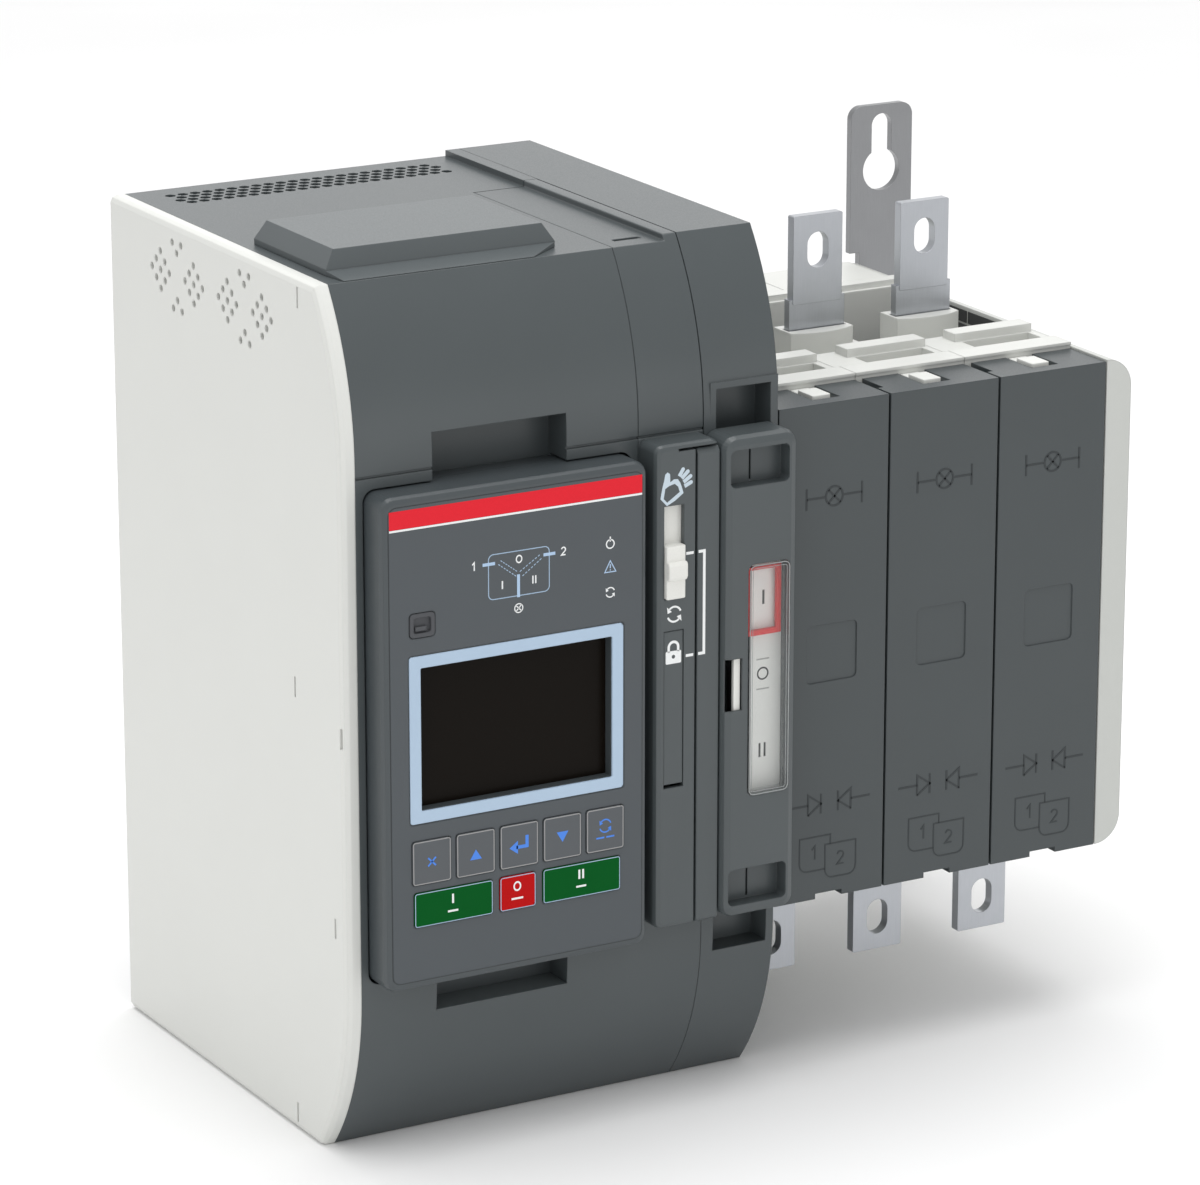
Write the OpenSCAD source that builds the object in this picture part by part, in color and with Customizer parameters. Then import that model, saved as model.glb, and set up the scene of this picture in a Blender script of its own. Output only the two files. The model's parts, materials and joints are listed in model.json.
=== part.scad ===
// Automatic transfer switch: a motor-less solenoid mechanism in a tall housing on the left,
// with a display panel, selector and position indicator on its front, and three switch poles
// on the right. Sizes in millimetres. Working coordinates: X from the left outer face, Y = 0 on
// the wall and negative towards the front, Z from the bottom. at_datum() then puts the origin on
// the wall face of the steel back plate, at the middle of the mechanism.

/* [Mechanism housing] */
// Width of the mechanism, from the left cover to the first pole
mech_w = 171.7; // [170:0.1:174]
// Height of the mechanism housing
mech_h = 310.3; // [309:0.1:312]
// Depth from the wall to the flat front
mech_d = 178.5; // [177:0.5:180]
// Wall thickness of the moulded housings
wall = 3; // [2.5:0.1:3.2]
// Thickness of the white left end cover
end_cover_t = 5.6; // [5:0.1:6]
// Radius of the upper front curve
upper_curve_r = 109; // [105:1:115]
// Radius of the lower front curve
lower_curve_r = 97; // [95:1:105]

/* [Switch poles] */
// Distance from pole to pole
pole_pitch = 46.4; // [46:0.1:48]
// Width of a terminal blade
blade_w = 21; // [20:0.5:22]
// Thickness of a terminal blade
blade_t = 4; // [3:0.5:4]
// Width of the slot in a blade
blade_slot_w = 9; // [8.5:0.5:10]
// Height of the slot in a blade
blade_slot_h = 13.5; // [12:0.5:14]
// Swing of the contacts from source I to source II, in degrees
swing = 60; // [60:1:60]

/* [Display panel] */
// Width of the display panel
panel_w = 103; // [102:0.5:103.5]
// Height of the display panel
panel_h = 176; // [175:0.5:176.5]
// Side of a square membrane key
key_w = 14.8; // [14:0.1:15]

/* [Wall fixing] */
// Width of the keyhole strap
strap_w = 27.7; // [26:0.1:28]
// Radius of the keyhole's round part
keyhole_r = 8.25; // [8:0.05:8.5]
// Width of the keyhole's narrow part
keyhole_slot_w = 9; // [8.5:0.1:9]

/* [Hidden] */
$fn = 64;

gap = 0.2;               // clearance between moulded parts
front_y = -mech_d;       // flat front of the housings
upper_curve_z = 250;     // the upper curve starts here
lower_curve_z = 62;      // the lower curve ends here
raised_top = 2.2;        // step of the housing top on the right
raised_x = 136;          // the step starts here
split_x = 115.3;         // joint between mechanism housing and service cover
side_x = 141.5;          // joint between service cover and side housing
cover_back_y = -60;      // rear edge of the service cover
step_z = [246.4, 247.3]; // shallow groove across the front, above the panels
step_depth = 0.8;
cover_low_z = 100;       // lower edge of the service cover, behind the selector panel

mid_z = 157;             // height of the switch shaft
shaft_y = -90;           // depth of the switch shaft
swing_half = swing / 2;
row_offset = 47;         // source rows lie this far in front of and behind the shaft
poles_x = mech_w;        // left side of the first pole
poles_end_x = poles_x + 3 * pole_pitch;
pole_z0 = 65;
pole_z1 = 249.3;
module_z0 = 62;
module_z1 = 250.5;
strap_t = 3;
module_back_y = -strap_t;
cap_depth = 23;          // depth of a pole cover round the pole
cap_half = pole_pitch / 2 - 0.5; // half the width of a pole cover

hmi_x0 = 9;
hmi_z0 = 66;
hmi_front_y = -191;
hmi_split_y = -174;      // joint between bezel and back shell
hmi_back_y = -167.2;
pocket_floor_y = -166.5;
display_x = 60.5;        // centre of the display
display_z = 155.8;
display_frame_w = 83.5;
display_frame_h = 59.8;
display_w = 74.7;
display_h = 51;
key_h = 15.7;
key_z = 103.9;
key_x0 = 19.2;
key_pitch = 17.05;
command_key_z = 88.6;
command_key_h = 12.4;
command_keys = [[19.8, 50.2], [53.1, 67.1], [70.1, 100.8]];
key_proud = 0.6;
usb_x = [19.1, 28.7];
usb_z = [192.3, 200.8];

strip_front_y = -190.5;
strip_z = [70, 246];
mode_slot_x = [118.8, 126.8];
mode_slot_z = [191, 224.5];
mode_knob_h = 19.2;
padlock_slot_z = [122, 179.5];
handle_x = [131.2, 141.2];
handle_z = [70, 243.6];
frame_front_y = -193;
indicator_x = [151.5, 168.5];
indicator_z = [114.5, 199.5];
indicator_pitch = 27.4;  // between the marks I, O and II
socket_x = 146;
socket_slot_x = [142.6, 149.2];
socket_slot_z = [147, 166];

yoke_x = 117;
yoke_y = -110;
yoke_stroke = 22;
crank_r = 22;            // radius of the crank pins that move the yoke
crank_pin_r = 3;
lever_r = 54.8;          // radius of the indicator lever's pin
lever_pin_r = 2.5;
spindle_r = 6;
journal_r = 7;
running_gap = 0.06;
hub_r = 10;
contact_r = 50;
contact_t = 8;
contact_w = 12;
contact_gap = 0.15;
blade_r = 0.7;           // rounding of a blade's corners
root_step = 0.3;         // a blade is this much thinner per side inside its pole

// ---- helpers ----

// Moves the working corner frame to the datum on the back plate
module at_datum() translate([-mech_w / 2, 0, -mech_h / 2]) children();

// Box given by its limits
module slab(x, y, z) translate([x[0], y[0], z[0]]) cube([x[1] - x[0], y[1] - y[0], z[1] - z[0]]);

module rounded_rect(w, h, r) {
    translate([r, 0]) square([w - 2 * r, h]);
    translate([0, r]) square([w, h - 2 * r]);
    for (x = [r, w - r], z = [r, h - r]) translate([x, z]) circle(r);
}

// Plate with rounded corners that faces the front
module panel(x, z, y, r) {
    translate([x[0], y[1], z[0]]) rotate([90, 0, 0])
        linear_extrude(y[1] - y[0]) rounded_rect(x[1] - x[0], z[1] - z[0], r);
}

// The same plate with its front edge rounded off in facets
module soft_panel(x, z, y, r, soft) {
    hull() {
        panel([x[0] + soft, x[1] - soft], [z[0] + soft, z[1] - soft],
              [y[0], y[1]], max(r - soft, 1), $fn = 24);
        panel([x[0] + soft * 0.3, x[1] - soft * 0.3], [z[0] + soft * 0.3, z[1] - soft * 0.3],
              [y[0] + soft * 0.3, y[1]], max(r - soft * 0.3, 1), $fn = 24);
        panel(x, z, [y[0] + soft, y[1]], r, $fn = 24);
    }
}

// Round bar along X, Y or Z, given by two of its coordinates and its span
module bar_x(x, y, z, r) translate([x[0], y, z]) rotate([0, 90, 0]) cylinder(r = r, h = x[1] - x[0]);
module bar_y(x, y, z, r) translate([x, y[1], z]) rotate([90, 0, 0]) cylinder(r = r, h = y[1] - y[0]);
module bar_z(x, y, z, r) translate([x, y, z[0]]) cylinder(r = r, h = z[1] - z[0]);

// Turns a shape about the switch shaft; 0 is the off position
module about_shaft(angle) translate([0, shaft_y, mid_z]) rotate([angle, 0, 0]) children();

function pole_x(i) = poles_x + (i - 0.5) * pole_pitch;

// Side view of the housings, X is depth and Y is height
module side_profile(inset, top) {
    difference() {
        translate([front_y + inset, inset]) square([mech_d - inset, top - 2 * inset]);
        difference() {
            translate([front_y - 1, upper_curve_z]) square([upper_curve_r + 1, top - upper_curve_z + 1]);
            translate([front_y + upper_curve_r, upper_curve_z]) circle(upper_curve_r - inset, $fn = 180);
        }
        difference() {
            translate([front_y - 1, -1]) square([lower_curve_r + 1, lower_curve_z + 1]);
            translate([front_y + lower_curve_r, lower_curve_z]) circle(lower_curve_r - inset, $fn = 180);
        }
    }
}

module profile_block(x, inset = 0, top = mech_h) {
    translate([x[0], 0, 0]) rotate([90, 0, 90]) linear_extrude(x[1] - x[0]) side_profile(inset, top);
}

// Housing wall that follows the side view, open at both sides and at the wall
module profile_sleeve(x, top = mech_h) {
    difference() {
        profile_block(x, 0, top);
        translate([0, wall + 1, 0]) profile_block([x[0] - 1, x[1] + 1], wall, top);
        profile_block([x[0] - 1, x[1] + 1], wall, top);
    }
}

// Keyhole through a plate on the wall: round entry with a narrow slot above it
module keyhole(x, z) {
    slot_rise = 17.5;
    bar_y(x, [-strap_t - 1, 1], z, keyhole_r);
    bar_y(x, [-strap_t - 1, 1], z + slot_rise, keyhole_slot_w / 2);
    slab([x - keyhole_slot_w / 2, x + keyhole_slot_w / 2], [-strap_t - 1, 1], [z, z + slot_rise]);
}
chassis_left_x = [91, 93];
chassis_right_x = [163.5, 165.5];
chassis_screw_z = [40, 270];
keyhole_z = [28, 285.5];
plate_keyhole_x = 20;
strap_keyhole_x = 325.2;

// Tie rods run through every pole at these depths and heights
tie_points = [[-20, 80], [-20, 234], [-160, 80], [-160, 234]];
tie_r = 2.5;

// ---- mechanism housing ----

// One small vent group: nine holes on a diamond
module vent_diamond(y, z) {
    for (row = [-2:2], k = [-(2 - abs(row)):2:(2 - abs(row))])
        translate([-1, y + k * 3.5, z + row * 3.4]) rotate([0, 90, 0])
            cylinder(r = 1.3, h = end_cover_t + 2, $fn = 20);
}

module vent_triangle(y, z, up) {
    for (p = [[0, -up * 1.7], [-3.5, up * 1.7], [3.5, up * 1.7]])
        translate([-1, y + p[0], z + p[1]]) rotate([0, 90, 0])
            cylinder(r = 1.3, h = end_cover_t + 2, $fn = 20);
}

module left_end_cover() {
    vent_pitch = 26.8;
    vent_y = -41;
    vent_z = 291.6;
    mark_w = 1;
    mark_h = 7.2;
    edge_soft = 2.4;
    color("gainsboro") difference() {
        union() {
            // outer edge rounded off in facets
            hull() {
                profile_block([0, 1], edge_soft, mech_h);
                profile_block([edge_soft * 0.3, 2], edge_soft * 0.3, mech_h);
                profile_block([edge_soft, end_cover_t], 0, mech_h);
            }
            difference() {
                profile_block([end_cover_t, end_cover_t + 4], wall + gap, mech_h);
                profile_block([end_cover_t - 1, end_cover_t + 5], wall + 2.2, mech_h);
                slab([end_cover_t, end_cover_t + 5], [-400, pocket_floor_y + 12],
                     [lower_curve_z - 30, upper_curve_z + 30]);
                slab([end_cover_t, end_cover_t + 5], [-4, 1], [-1, mech_h + 1]);
            }
        }
        for (k = [0:3]) vent_diamond(vent_y - k * vent_pitch, vent_z);
        for (k = [0, 2]) {
            vent_triangle(vent_y - (k + 0.5) * vent_pitch, vent_z + 10.2, 1);
            vent_triangle(vent_y - (k + 0.5) * vent_pitch, vent_z - 10.2, -1);
        }
        for (p = [[-148.6, 304], [-142.2, 165], [-176.4, 155.6], [-170.4, 85.4], [-139, 6.7]])
            slab([-1, 1.2], [p[0] - mark_w / 2, p[0] + mark_w / 2], [p[1] - mark_h / 2, p[1] + mark_h / 2]);
    }
}

// Hexagonal ventilation mesh in the housing top
module top_mesh() {
    pitch = 4.9;
    rows = 4;
    columns = 22;
    for (row = [0:rows - 1], k = [0:columns - 1])
        translate([18.5 + (k + (row % 2) / 2) * pitch, -11 - row * pitch * 0.87, mech_h - wall - 1])
            cylinder(r = 2.1, h = wall + 2, $fn = 6);
}

module mechanism_housing() {
    recess_x = [35, 87];
    recess_back_y = front_y + 13;
    pocket_x = [hmi_x0 - 0.6, hmi_x0 + panel_w + 0.6];
    pocket_z = [hmi_z0 - 0.6, hmi_z0 + panel_h + 0.6];
    color("dimgray") difference() {
        union() {
            profile_sleeve([end_cover_t, split_x - gap / 2]);
            intersection() {
                profile_block([end_cover_t, split_x - gap / 2], 0, mech_h);
                union() {
                    slab([end_cover_t, split_x], [front_y, pocket_floor_y + 2.5],
                         [pocket_z[0] - 2.6, pocket_z[1] + 2.6]);
                    slab([recess_x[0] - 2.5, recess_x[1] + 2.5], [front_y, recess_back_y + 2.5], [48, 262]);
                }
            }
            // rear part that reaches across to the side housing
            slab([split_x - 1, raised_x], [cover_back_y + gap, 0], [mech_h - wall, mech_h]);
            slab([raised_x, side_x - gap / 2], [cover_back_y + gap, 0], [mech_h - wall, mech_h + raised_top]);
            // lower front that reaches across to the side housing
            intersection() {
                profile_sleeve([split_x - 1, side_x - gap / 2]);
                slab([split_x - 2, side_x], [front_y - 1, 1], [-1, cover_low_z - gap]);
            }
        }
        panel(pocket_x, pocket_z, [front_y - 1, pocket_floor_y], 4.5);
        slab([38, 83], [pocket_floor_y - 1, pocket_floor_y + 4], [84, 112]);
        slab(recess_x, [front_y - 20, recess_back_y], [pocket_z[1] - 1, 259.3]);
        slab(recess_x, [front_y - 20, recess_back_y], [51.5, pocket_z[0] + 1]);
        slab([end_cover_t - 1, split_x], [front_y - 1, front_y + step_depth], step_z);
        top_mesh();
    }
}

module top_lid() {
    base_z = mech_h + 0.05;
    plate_z = mech_h + 8.5;
    foot_z = mech_h + 2.2;
    color("slategray") {
        hull() {
            slab([14.4, 94.7], [-147.3, -97], [plate_z - 1, plate_z]);
            slab([10.5, 98.7], [-149.5, -95], [base_z, foot_z]);
        }
        // low skirt that runs out to the front edge of the housing top
        hull() {
            slab([10.5, 98.7], [-149.5, -148.5], [base_z, foot_z - 0.4]);
            slab([12, 84.9], [-159.8, -158.8], [base_z, base_z + 0.25]);
        }
    }
}

module service_cover() {
    color("dimgray") difference() {
        union() {
            difference() {
                profile_sleeve([split_x + gap / 2, side_x - gap / 2]);
                slab([split_x - 1, side_x + 1], [cover_back_y, 1], [-1, mech_h + 5]);
                slab([split_x - 1, side_x + 1], [front_y - 1, 1], [-1, cover_low_z]);
            }
            intersection() {
                profile_block([raised_x, side_x - gap / 2], 0, mech_h + raised_top);
                slab([raised_x, side_x - gap / 2], [-200, cover_back_y], [mech_h - 1, mech_h + 5]);
            }
        }
        slab([117, 130.2], [front_y - 1, front_y + wall + 1], [112, 232]);
        slab([split_x - 1, side_x + 1], [front_y - 1, front_y + step_depth], step_z);
        // narrow catch slot in the top
        slab([121, 131.8], [-152.2, -149.8], [mech_h - 1.5, mech_h + 1]);
    }
}

module side_housing() {
    top = mech_h + raised_top;
    recess_x = [146.5, 168.6];
    color("dimgray") difference() {
        union() {
            profile_sleeve([side_x + gap / 2, poles_x - gap / 2], top);
            profile_block([poles_x - wall, poles_x - gap / 2], 0, top);
            intersection() {
                profile_block([side_x + gap / 2, poles_x - gap / 2], 0, top);
                slab([recess_x[0] - 2.3, poles_x - gap / 2], [front_y, front_y + 13], [48, 79]);
            }
            slab([recess_x[0] - 2.3, poles_x - gap / 2], [front_y, front_y + 13], [237, 262.5]);
        }
        slab([recess_x[0], recess_x[1]], [front_y - 20, front_y + 10.5], [240, 260]);
        slab([recess_x[0], recess_x[1]], [front_y - 20, front_y + 10.5], [53, 76]);
        slab([side_x + 1, 168.4], [front_y - 1, front_y + wall + 1], [108, 206]);
        bar_x([poles_x - wall - 1, poles_x + 1], shaft_y, mid_z, hub_r + 2);
        for (p = tie_points) bar_x([poles_x - wall - 1, poles_x + 1], p[0], p[1], tie_r + 0.1);
    }
}

// ---- steel frame inside ----

module back_plate() {
    plate_z = [wall + 0.6, mech_h - wall - 0.6];
    color("silver") difference() {
        union() {
            slab([end_cover_t + 0.6, poles_x - wall - 0.4], [-2, 0], plate_z);
            // screw bosses that carry the chassis plates
            for (x = [[chassis_left_x[0] - 4, chassis_left_x[0]], [chassis_right_x[1], poles_x - wall - 0.6]])
                for (z = chassis_screw_z) slab(x, [-14, -2], [z - 8, z + 8]);
        }
        for (z = keyhole_z) keyhole(plate_keyhole_x, z);
    }
}

module chassis_plate(x) {
    difference() {
        slab(x, [-158, -2.2], [8, 302]);
        bar_x([x[0] - 1, x[1] + 1], shaft_y, mid_z, journal_r + running_gap);
        for (z = chassis_screw_z) bar_x([x[0] - 1, x[1] + 1], -9, z, 1.6);
        // weight-saving windows
        slab([x[0] - 1, x[1] + 1], [-60, -25], [110, 204]);
        slab([x[0] - 1, x[1] + 1], [-152, -138], [60, 120]);
    }
}

module chassis_left() color("lightsteelblue") chassis_plate(chassis_left_x);
module chassis_right() color("lightsteelblue") chassis_plate(chassis_right_x);

module chassis_spacers() {
    color("silver") for (y = [-30, -150], z = [20, 292])
        bar_x([chassis_left_x[1], chassis_right_x[0]], y, z, 4);
}

// Bracket that carries the manual spindle's bearing
module spindle_bracket() {
    color("lightsteelblue") difference() {
        union() {
            slab([chassis_left_x[1], socket_x + 6.4 + 0.2], [-158, -155.5], [144, 170]);
            slab([chassis_left_x[1], chassis_left_x[1] + 2.5], [-155.5, -135], [144, 170]);
        }
        bar_y(socket_x, [-160, -150], mid_z, spindle_r + running_gap);
    }
}

solenoid_z = [[218, 286], [28, 96]];
plunger_r = 9.5;

module solenoid_frames() {
    color("silver") for (z = solenoid_z) difference() {
        union() {
            slab([98, 136], [-130, -92], [z[0], z[0] + 3]);
            slab([98, 136], [-130, -92], [z[1] - 3, z[1]]);
            slab([95, 98], [-130, -92], z);
            slab([chassis_left_x[1], 95], [-120, -102], [z[0] + 20, z[1] - 20]);
        }
        bar_z(yoke_x, yoke_y - 1, [z[0] - 1, z[1] + 1], plunger_r + 0.8);
    }
}

module solenoid_coils() {
    color("peru") for (z = solenoid_z) difference() {
        union() {
            bar_z(yoke_x, yoke_y - 1, [z[0] + 3, z[0] + 5], 18);
            bar_z(yoke_x, yoke_y - 1, [z[1] - 5, z[1] - 3], 18);
            bar_z(yoke_x, yoke_y - 1, [z[0] + 5, z[1] - 5], 17);
        }
        bar_z(yoke_x, yoke_y - 1, [z[0], z[1]], plunger_r + 0.6);
    }
}

// Power supply and drive board on the left of the chassis
module power_board() {
    board_x = [78, 79.6];
    color("seagreen") {
        slab(board_x, [-140, -24], [40, 270]);
        for (z = [60, 250], y = [-130, -34]) bar_x([board_x[1], chassis_left_x[0]], y, z, 3);
        for (z = [90, 130, 170]) bar_x([board_x[0] - 28, board_x[0]], -70, z, 15);
        slab([board_x[0] - 22, board_x[0]], [-125, -95], [150, 240]);
        slab([board_x[0] - 16, board_x[0]], [-60, -36], [195, 245]);
    }
}

// ---- selector panel, indicator and manual drive ----

module selector_panel() {
    outer_x = [split_x + 0.3, side_x - 0.4];
    color("dimgray") difference() {
        soft_panel(outer_x, strip_z, [strip_front_y, front_y - 0.05], 3, 2);
        slab([outer_x[0] + 1.6, handle_x[0] - 1.6], [strip_front_y + 2.2, front_y + 1],
             [strip_z[0] + 3, strip_z[1] - 3]);
        slab(mode_slot_x, [strip_front_y - 1, front_y], mode_slot_z);
        slab(mode_slot_x, [strip_front_y - 1, front_y], padlock_slot_z);
        slab([handle_x[0], handle_x[1] + 1], [strip_front_y - 1, strip_front_y + 10.5],
             [handle_z[0] - 1, handle_z[1]]);
        // thumb notch above the stored handle
        slab([124.5, handle_x[1] + 1], [strip_front_y - 1, strip_front_y + 5],
             [handle_z[1] - 0.1, strip_z[1] - 1.6]);
    }
}

module mode_slider() {
    x = [mode_slot_x[0] + gap, mode_slot_x[1] - gap];
    z0 = mode_slot_z[0] + gap;
    color("whitesmoke") {
        slab(x, [strip_front_y - 1.6, strip_front_y + 2.4], [z0, z0 + mode_knob_h]);
        hull() {
            slab(x, [strip_front_y - 2.6, strip_front_y - 1.6], [z0 + 7, z0 + 13.6]);
            slab(x, [strip_front_y - 3.4, strip_front_y - 1.6], [z0 + 8.4, z0 + 12.4]);
        }
        // plate behind the slot, long enough to fill it in the AUTO position
        slab([x[0] - 1.2, x[1] + 1.2], [strip_front_y + 2.4, strip_front_y + 4.2],
             [z0 - 2, mode_slot_z[1] + 3]);
    }
}

module padlock_slide() {
    x = [mode_slot_x[0] + gap, mode_slot_x[1] - gap];
    z = [padlock_slot_z[0] + 1.2, padlock_slot_z[1] - gap];
    color("dimgray") difference() {
        union() {
            slab(x, [strip_front_y + 0.3, strip_front_y + 20], z);
            slab([x[0] - 1.4, x[1] + 1.4], [strip_front_y + 20, strip_front_y + 21.6], [z[0] - 2, z[1] + 2]);
        }
        bar_x([x[0] - 1, x[1] + 1], strip_front_y + 9.5, z[0] + 12, 4);
        bar_x([x[0] - 1, x[1] + 1], strip_front_y + 9.5, z[0] + 26, 4);
        bar_x([x[0] - 1, x[1] + 1], strip_front_y + 9.5, z[0] + 40, 4);
    }
}

module manual_handle() {
    x = [handle_x[0] + 1, handle_x[1] - gap / 2];
    z = [handle_z[0] + gap, handle_z[1] - gap];
    color("dimgray") {
        hull() {
            slab(x, [strip_front_y, strip_front_y + 3], [z[0] + 1, z[1] - 1.6]);
            slab(x, [strip_front_y + 1.3, strip_front_y + 3], z);
        }
        slab([x[0] + 2, x[1] - 2], [strip_front_y + 3, strip_front_y + 10.2], [z[0] + 1, z[1] - 30]);
        // square drive end, folded behind the grip
        slab([x[0] + 1.4, x[1] - 1.4], [strip_front_y + 3, strip_front_y + 9.8], [z[1] - 29, z[1] - 8]);
    }
}

module indicator_frame() {
    x = [side_x + 0.2, poles_x - gap / 2];
    z = [70, 246];
    color("dimgray") difference() {
        soft_panel(x, z, [frame_front_y, front_y - 0.05], 5, 3);
        // hollow behind the front wall
        slab([x[0] + 2, x[1] - 2], [frame_front_y + 3.6, front_y + 1], [92, 224]);
        panel(indicator_x, indicator_z, [frame_front_y - 1, front_y], 2.5);
        slab(socket_slot_x, [frame_front_y - 1, front_y], socket_slot_z);
        // thin wall round the socket slot, so that the shutter sits near the front
        slab([socket_slot_x[0] + 0.6, indicator_x[0] - 0.4], [frame_front_y + 1, frame_front_y + 4],
             [socket_slot_z[0] - 13, socket_slot_z[1] + 13]);
        // two grip windows, each with a narrow groove in its floor
        for (wz = [[74.5, 88], [228, 241.5]]) {
            panel([144.2, 167.8], wz, [frame_front_y - 1, frame_front_y + 6], 2);
            slab([154.8, 155.5], [frame_front_y + 5, frame_front_y + 8.5], [wz[0] + 0.8, wz[1] - 0.8]);
        }
    }
}

module indicator_window() {
    color("lightcyan") difference() {
        panel([indicator_x[0] + 0.15, indicator_x[1] - 0.15], [indicator_z[0] + 0.15, indicator_z[1] - 0.15],
              [frame_front_y - 0.4, frame_front_y + 3.2], 2.35);
        panel([indicator_x[0] + 1.6, indicator_x[1] - 1.6], [indicator_z[0] + 1.6, indicator_z[1] - 1.6],
              [frame_front_y + 1.2, frame_front_y + 5], 1);
    }
}

card_y = [-185.6, -184.4];

module indicator_card() {
    color("white") {
        slab([157.2, 169.4], card_y, [indicator_z[0] - 4, indicator_z[1] + 4]);
        for (z = [indicator_z[0] - 4, indicator_z[1] + 1])
            slab([163, 169.5], [card_y[1], front_y - 0.1], [z, z + 3]);
    }
}

// Red frame that rings the mark of the live position, on its slotted tail
module position_frame() {
    z = mid_z + indicator_pitch;
    half_h = 12.6;
    ring_x = [153.4, 167.6];
    ring_y = [-188.6, -187];
    slim_bar = 1.2;
    wide_bar = 1.9;
    color("crimson") {
        difference() {
            slab(ring_x, ring_y, [z - half_h, z + half_h]);
            slab([ring_x[0] + slim_bar, ring_x[1] - wide_bar], [ring_y[0] - 1, ring_y[1] + 1],
                 [z - half_h + wide_bar, z + half_h - slim_bar]);
        }
        slab([ring_x[0], ring_x[0] + slim_bar], [ring_y[1], -178], [z - 6, z + 6]);
        difference() {
            slab([153.4, 156.4], [-178, -131], [z - 6.5, z + 6.5]);
            slab([150, 160], [-148.5, -133.5], [z - lever_pin_r - 0.6, z + lever_pin_r + 0.6]);
        }
    }
}

// Light shutter that half covers the handle socket in the AUTO position and slides right
module socket_shutter() {
    shutter_y = [frame_front_y + 1.2, frame_front_y + 3];
    shutter_x1 = 149;
    color("whitesmoke") {
        slab([146.4, shutter_x1], shutter_y, [socket_slot_z[0] - 3, socket_slot_z[1] + 3]);
        for (z = [socket_slot_z[0] - 12, socket_slot_z[1] + 3])
            slab([144, shutter_x1], shutter_y, [z, z + 9]);
    }
}

// Spindle that takes the handle and turns its crank pin in the yoke
module manual_spindle() {
    color("silver") translate([socket_x, 0, mid_z]) rotate([0, swing_half, 0]) {
        difference() {
            bar_y(0, [-175.2, -140], 0, spindle_r);
            translate([-3, -176, -3]) cube([6, 16, 6]);
        }
        bar_y(0, [-155, -152], 0, spindle_r + 1);
        translate([-crank_r, -146, -4.5]) cube([crank_r, 6, 9]);
        bar_y(-crank_r, [-146, -124.5], 0, crank_pin_r);
    }
}

// Slotted yoke between the two solenoid plungers
module drive_yoke() {
    z = mid_z + yoke_stroke / 2;
    slot_half = crank_pin_r + 0.4;
    color("darkgray") difference() {
        union() {
            slab([107, 131], [-122, -98.5], [z - 12, z + 12]);
            slab([116, 135.5], [-134, -122], [z - 8, z + 8]);
            bar_z(yoke_x, yoke_y - 1, [z + 12, z + 78], plunger_r);
            bar_z(yoke_x, yoke_y - 1, [z - 78, z - 12], plunger_r);
        }
        // slot for the shaft crank's pin, along Y
        slab([113, 132], [-118, -103], [z - slot_half, z + slot_half]);
        // slot for the spindle's pin, along X
        slab([119.5, 132], [-135, -123.5], [z - slot_half, z + slot_half]);
    }
}

module main_shaft() {
    square_w = 10;
    color("silver") about_shaft(-swing_half) {
        bar_x([87, 168.2], 0, 0, journal_r);
        translate([168.2, -square_w / 2, -square_w / 2])
            cube([poles_end_x - 0.4 - 168.2, square_w, square_w]);
        // crank disc and its pin
        bar_x([140, 145], 0, 0, 28);
        bar_x([115, 140], -crank_r, 0, crank_pin_r);
        // indicator lever and its pin
        bar_x([158, 161], 0, 0, 14);
        translate([158, -lever_r, -5]) cube([3, lever_r, 10]);
        bar_x([152.7, 158], -lever_r, 0, lever_pin_r);
    }
}

// ---- switch poles ----

module contact_carriers() {
    color("saddlebrown") about_shaft(-swing_half) for (i = [1:3]) difference() {
        bar_x([pole_x(i) - pole_pitch / 2 + gap, pole_x(i) + pole_pitch / 2 - gap], 0, 0, hub_r);
        translate([pole_x(i) - pole_pitch, -5, -5]) cube([2 * pole_pitch, 10, 10]);
    }
}

module moving_contact(i) {
    color("orange") about_shaft(-swing_half) difference() {
        union() {
            bar_x([pole_x(i) - contact_w / 2, pole_x(i) + contact_w / 2], 0, 0, 20);
            translate([pole_x(i) - contact_w / 2, -contact_t / 2, -contact_r])
                cube([contact_w, contact_t, contact_r]);
        }
        bar_x([pole_x(i) - contact_w, pole_x(i) + contact_w], 0, 0, hub_r);
    }
}

module blade_slot(i, y, z) {
    x = pole_x(i);
    half_rise = (blade_slot_h - blade_slot_w) / 2;
    for (s = [-1, 1]) bar_y(x, [y - 5, y + 5], z + s * half_rise, blade_slot_w / 2);
    slab([x - blade_slot_w / 2, x + blade_slot_w / 2], [y - 5, y + 5], [z - half_rise, z + half_rise]);
}

module load_terminal(i) {
    x = pole_x(i);
    y = [shaft_y - blade_t / 2, shaft_y + blade_t / 2];
    stem_y = [y[0] + root_step, y[1] - root_step];
    color("lightgray") difference() {
        union() {
            panel([x - blade_w / 2, x + blade_w / 2], [261.4, 294.6], y, blade_r);
            slab([x - blade_w / 2 - 1.4, x + blade_w / 2 + 1.4], stem_y, [226, 263.4]);
            slab([x - 9, x + 9], stem_y, [186, 226]);
            // jaws that stay in contact with the moving contact's disc
            for (s = [-1, 1]) slab([x + s * 7.7 - 1.5, x + s * 7.7 + 1.5], [y[0] - 6, y[1] + 6], [168, 190]);
        }
        blade_slot(i, shaft_y, 281.3);
    }
}

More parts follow.
